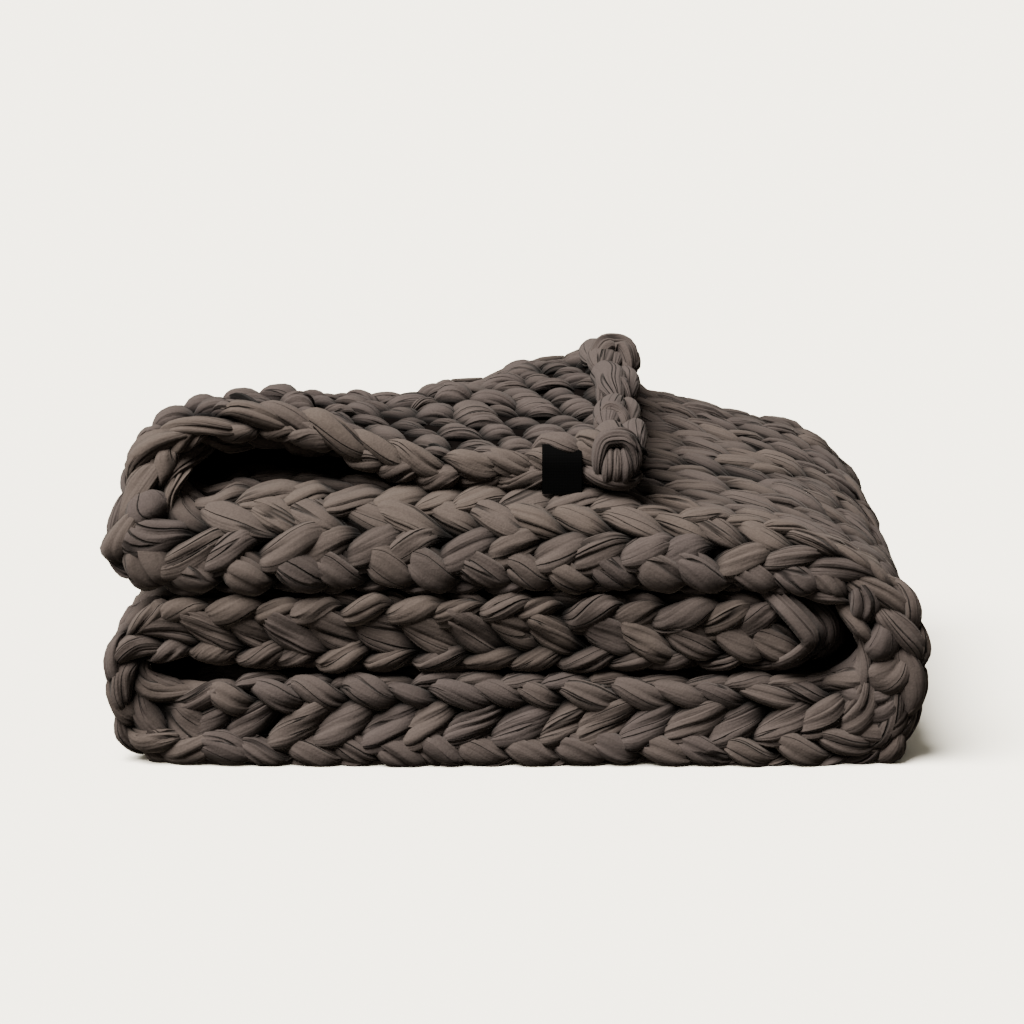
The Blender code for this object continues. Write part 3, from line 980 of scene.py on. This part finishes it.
def ribbon_material(colours):
    """Black woven polyester ribbon: a fine plain weave with a slight sheen."""
    material, add, shader = new_material("black woven ribbon")
    place = add("ShaderNodeTexCoord").outputs["Object"]
    # Threads 0.5 mm apart, drawn at 1 mm so that they show.
    threads = [
        add("ShaderNodeTexWave", {"Vector": place, "Scale": 320.0}, bands_direction=way).outputs[1]
        for way in ("X", "Z")
    ]
    weave = add("ShaderNodeMath", threads, operation="MULTIPLY")
    darkest, lightest = ((*[part * share for part in colours.tab], 1.0) for share in (0.7, 1.3))
    set_inputs(shader, {
        "Base Color": add("ShaderNodeMix", {0: weave, 6: darkest, 7: lightest}, data_type="RGBA"),
        "Normal": add("ShaderNodeBump", {"Height": weave, "Strength": 0.4, "Distance": 0.0003}),
        "Roughness": 0.80, "Specular IOR Level": 0.005,
    })
    return material


# Sizes and colours a user would change

class KnitSizes(PropertyGroup):
    row_pitch: FloatProperty(
        name="Row pitch", description="Distance between two stitches of a column",
        default=0.0285, min=0.015, max=0.05, subtype="DISTANCE", unit="LENGTH",
    )
    leg_length: FloatProperty(
        name="Leg length", description="Length of one leg of a stitch",
        default=0.055, min=0.02, max=0.07, subtype="DISTANCE", unit="LENGTH",
    )
    fullness: FloatProperty(
        name="Fullness", description="How plump the yarn is, 1 as knitted",
        default=1.0, min=0.3, max=1.5, subtype="FACTOR",
    )
    seed: IntProperty(name="Seed", description="Changes the pleats and the unevenness", default=4)


class KnitColours(PropertyGroup):
    yarn_dark: FloatVectorProperty(
        name="Yarn, darker", description="Colour of the darkest stitches",
        default=hex_colour("#26211F")[:3], subtype="COLOR", size=3, min=0.0, max=1.0,
    )
    yarn_light: FloatVectorProperty(
        name="Yarn, lighter", description="Colour of the lightest stitches",
        default=hex_colour("#2D2723")[:3], subtype="COLOR", size=3, min=0.0, max=1.0,
    )
    tab: FloatVectorProperty(
        name="Tab", description="Colour of the woven tab",
        default=hex_colour("#020202")[:3], subtype="COLOR", size=3, min=0.0, max=1.0,
    )
    floor: FloatVectorProperty(
        name="Floor", description="Colour of the studio floor",
        default=hex_colour("#C6C1B4")[:3], subtype="COLOR", size=3, min=0.0, max=1.0,
    )


class KNIT_OT_ground(Operator):
    """Make the body in painted shade that lies between and behind the stitches"""
    bl_idname = "knit.ground"
    bl_label = "Knit ground"

    def execute(self, context):
        rows = np.linspace(0.004, LENGTH - 0.004, GROUND_GRID[0])
        wales = np.linspace(-WALES, WALES, GROUND_GRID[1], endpoint=False)
        s, w = np.meshgrid(rows, wales, indexing="ij")
        sunk = np.minimum(GROUND_DEPTH, half_thickness(course_at(rows)) * 0.62)[:, None]
        points = knit_points(s, w, sunk - hollow_swell(s, w))
        index = np.arange(s.size).reshape(s.shape)
        beside = np.roll(index, -1, axis=1)
        quads = np.stack((index[:-1], beside[:-1], beside[1:], index[1:]), axis=-1).reshape(-1, 4)
        ends = []
        for ring, turn in ((index[0], 1), (index[-1], -1)):
            for k in range(len(wales) // 2):
                corners = dict.fromkeys((ring[k], ring[k + 1], ring[-k - 1], ring[-k]))
                ends.append(tuple(corners)[::turn])
        mesh = bpy.data.meshes.new("knit_ground")
        mesh.from_pydata(points.reshape(-1, 3), [], [*map(tuple, quads), *ends])
        mesh.validate()
        mesh.materials.append(ground_material(context.scene.knit_colours))
        mesh.shade_smooth()
        turn_outwards(mesh)
        piece = soft_piece("knit_ground", mesh)
        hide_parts("knit_blanket")
        return {"FINISHED"}


class KNIT_OT_edge(Operator):
    """Knit the fine stitches round the front edge of the stack's three layers"""
    bl_idname = "knit.edge"
    bl_label = "Front edge stitches"

    def execute(self, context):
        bottom, bend, rise = START["bottom"], START["right bend"], START["rise"]
        plump = (0.0160, 0.0200)
        # Piece, start, end, way, girths, thicknesses, tints, and how proud each column stands.
        spans = (
            ("edge_of_middle", 0.024, bottom - 0.002, -1, (0.60, 0.74), plump, (0.2, 0.9),
             {-1: 0.002, 0: 0.002, 1: 0.001}),
            ("edge_of_bottom", bottom - 0.016, bend + 0.028, 1, (0.56, 0.68), plump, (0.0, 0.6),
             {-2: 0.004, -1: 0.002, 0: 0.003, 1: 0.009}),
            ("edge_of_top", bend + 0.004, rise, -1, (0.66, 0.78), (0.0175, 0.0215), (0.0, 0.7),
             {-1: 0.003, 0: 0.002}),
            # Painted light: the shoulder faces up into the light and takes lighter tints, 0.5 to 1.
            ("shoulder_of_top", bend + 0.004, rise, -1, (0.62, 0.76), (0.0120, 0.0150), (0.5, 1.0),
             {1: 0.0015}),
        )
        for number, (name, start, end, way, girths, thick, tints, lifts) in enumerate(spans):
            stitches = plan_legs("fine", tuple(lifts), start, end, 20 + number, lifts=lifts,
                                 girths=girths, leans=(-2, 4), thick=thick, way=way, tints=tints)
            if name == "edge_of_bottom":
                # A few more stitches fill the corner at the foot of the left bend.
                stitches += plan_legs("fine", (1, 2), start - 0.035, start + 0.030, 26,
                                      length=0.050, lifts={1: 0.006, 2: 0.006}, girths=girths,
                                      leans=(-2, 4), thick=thick)
            lay_stitches(name, "fine", stitches)
        return {"FINISHED"}


class KNIT_OT_faces(Operator):
    """Knit the stitches over the top, the two bends, the underside and the back"""
    bl_idname = "knit.faces"
    bl_label = "Face stitches"

    def execute(self, context):
        top = plan_legs("plain", range(2, WALES), START["right bend"] + 0.02, START["rise"] + 0.03,
                        30, length=0.062, girths=(0.46, 0.57), leans=(-3, 4),
                        thick=(0.0130, 0.0175))
        lay_stitches("top_stitches", "plain", clear_of_bend(top))
        outside = plan_legs("rough", range(2, WALES), START["left bend"] - 0.03,
                            START["right bend"] + 0.02, 31)
        lay_stitches("outside_stitches", "rough", outside)
        hidden = []
        for number, (columns, start, end) in enumerate((
            ((-9, -8), 0.0, START["left end"]),
            ((8, 9), 0.0, START["left bend"] - 0.03),
            ((-4, -3, -2), START["left bend"] - 0.06, START["bottom"] + 0.06),
            ((-4, -3, -2), START["right bend"] - 0.03, START["top"] + 0.03),
        )):
            hidden += plan_legs("rough", columns, start, end, 32 + number)
        hidden += plan_legs("rough", (-9.7, 9.7), 0.0, START["left end"], 36, girths=(0.36, 0.44))
        lay_stitches("back_and_hollow_stitches", "rough", hidden)
        return {"FINISHED"}


class KNIT_OT_flap(Operator):
    """Knit the turned-back flap: its braided front edge, purl top and plain underside"""
    bl_idname = "knit.flap"
    bl_label = "Flap stitches"

    def execute(self, context):
        start = START["rise"]
        # Painted light: the braided edge's two columns take lighter tints, up to 1, as the braid
        # catches the light.
        edge = plan_legs("fine", (0,), start, LENGTH - 0.012, 40, 0.027, 0.058, {0: 0.0035},
                         (0.58, 0.70), (-2, 6), (0.0190, 0.0230), tints=(0.5, 1.0))
        edge += plan_legs("fine", (1,), start - 0.01, START["flap"] - 0.02, 43, 0.027, 0.050,
                          {1: 0.009}, (0.48, 0.60), (-2, 6), (0.0170, 0.0210), tints=(0.4, 1.0))
        # Two last legs lie behind the tab.
        for number, (reach, wale, size) in enumerate(((0.072, -0.36, 0.044), (0.046, -0.34, 0.034))):
            edge.append(Stitch((LENGTH - reach, wale, 0.007), (size, 0.02, -0.001), (0, 0.38, 0),
                               0.017, 7 + 9 * number, True, 0.35 + 0.3 * number))
        lay_stitches("edge_of_flap", "fine", edge)
        under = plan_legs("rough", range(1, WALES + 1), start + 0.01, LENGTH - 0.020, 41,
                          thick=(0.010, 0.012))
        lay_stitches("underside_of_flap", "rough", clear_of_bend(under))
        top = plan_bumps(range(-1, -WALES, -1), START["left end"], LENGTH - 0.022, 42)
        lay_stitches("top_of_flap", "bumps", top)
        return {"FINISHED"}


class KNIT_OT_ends(Operator):
    """Close the band's two ends with their loops of yarn"""
    bl_idname = "knit.ends"
    bl_label = "End loops"

    def execute(self, context):
        lay_strands("end_loops_of_flap", rolled_end(50) + back_ties(), 51, 40)
        inner = inner_loops(52)
        # The inner end's corner curls forwards, over a second strand.
        curl = np.array((
            (152, 22, 112), (160, 6, 108), (169, -3, 100), (179, -4, 89), (184, -3, 81),
            (178, -1, 73), (168, 4, 66), (158, 16, 61),
        )) / 1000
        behind = np.array((
            (168, 30, 106), (184, 18, 102), (196, 14, 91), (198, 14, 80), (193, 17, 71),
            (182, 26, 63),
        )) / 1000
        for path, width, thickness in ((curl, 0.0230, 0.0215), (behind, 0.0200, 0.0140)):
            inner.append(Strand(from_front(path, FRONT + 0.011), ALONG_Y, width, thickness))
        lay_strands("end_loops_of_middle", inner, 53, 22)
        return {"FINISHED"}


class KNIT_OT_tab(Operator):
    """Give the woven tab its ribbon finish"""
    bl_idname = "knit.tab"
    bl_label = "Woven tab"

    def execute(self, context):
        material = ribbon_material(context.scene.knit_colours)
        for place in bpy.data.objects["woven_tab"].material_slots:
            place.material = material
        return {"FINISHED"}


class KNIT_OT_stage(Operator):
    """Set up the pale floor, the soft studio light and the camera"""
    bl_idname = "knit.stage"
    bl_label = "Studio"

    def execute(self, context):
        scene = context.scene
        material, add, shader = new_material("pale matt studio floor")
        colour = (*scene.knit_colours.floor, 1.0)
        set_inputs(shader, {"Base Color": colour, "Roughness": 1.0, "Specular IOR Level": 0.0})
        mesh = bpy.data.meshes.new("studio_floor")
        mesh.from_pydata([(-60, -60, 0), (60, -60, 0), (60, 60, 0), (-60, 60, 0)], [], [(0, 1, 2, 3)])
        mesh.materials.append(material)
        floor = new_object("studio_floor", mesh)
        floor.visible_diffuse = False

        world = bpy.data.worlds.new("soft studio")
        world.use_nodes = True
        add = partial(add_node, world.node_tree)
        # Fill light comes mostly from the upper left, as from a large window screen.
        ways = add("ShaderNodeTexCoord").outputs["Generated"]
        x, y, z = add("ShaderNodeSeparateXYZ", [ways]).outputs
        fill = add("ShaderNodeMath", [x, -0.85, 0.50], operation="MULTIPLY_ADD")
        fill = add("ShaderNodeMath", [z, 0.55, fill], operation="MULTIPLY_ADD")
        fill = add("ShaderNodeMath", [fill, 0.06], operation="MAXIMUM")
        set_inputs(world.node_tree.nodes["Background"],
                   {"Color": hex_colour("#FFFAF0"), "Strength": fill})
        scene.world = world

        sun = bpy.data.lights.new("overhead softbox", "SUN")
        sun.energy = 31.5
        sun.angle = math.radians(45)
        sun.color = (1.0, 0.985, 0.96)
        lamp = new_object("overhead softbox", sun)
        lamp.rotation_euler = (math.radians(22), math.radians(-27), 0.0)

        lens = bpy.data.cameras.new("studio camera")
        lens.sensor_width = 36.0
        lens.lens = 137.4
        camera = new_object("studio camera", lens)
        camera.location = (-0.0017, FRONT - CAMERA_AWAY, 0.5764)
        camera.rotation_euler = (math.radians(90 - CAMERA_DOWN), 0.0, 0.0)
        scene.camera = camera
        return {"FINISHED"}


class KNIT_PT_panel(Panel):
    """Sizes, colours and pieces of the folded blanket"""
    bl_idname = "KNIT_PT_panel"
    bl_label = "Folded chunky knit"
    bl_space_type = "VIEW_3D"
    bl_region_type = "UI"
    bl_category = "Knit"

    def draw(self, context):
        layout = self.layout
        for group in (context.scene.knit_sizes, context.scene.knit_colours):
            for name in group.__annotations__:
                layout.prop(group, name)
        for operator in OPERATORS:
            layout.operator(operator.bl_idname)


GROUPS = (KnitSizes, KnitColours)
OPERATORS = (
    KNIT_OT_ground, KNIT_OT_edge, KNIT_OT_faces, KNIT_OT_flap, KNIT_OT_ends, KNIT_OT_tab,
    KNIT_OT_stage,
)


def register():
    for group in (*GROUPS, *OPERATORS, KNIT_PT_panel):
        bpy.utils.register_class(group)
    bpy.types.Scene.knit_sizes = PointerProperty(type=KnitSizes)
    bpy.types.Scene.knit_colours = PointerProperty(type=KnitColours)


def unregister():
    del bpy.types.Scene.knit_sizes
    del bpy.types.Scene.knit_colours
    for group in reversed((*GROUPS, *OPERATORS, KNIT_PT_panel)):
        bpy.utils.unregister_class(group)


def main():
    register()
    bpy.ops.knit.ground()
    bpy.ops.knit.edge()
    bpy.ops.knit.faces()
    bpy.ops.knit.flap()
    bpy.ops.knit.ends()
    bpy.ops.knit.tab()
    bpy.ops.knit.stage()
    clear_tools()


if __name__ == "__main__":
    main()
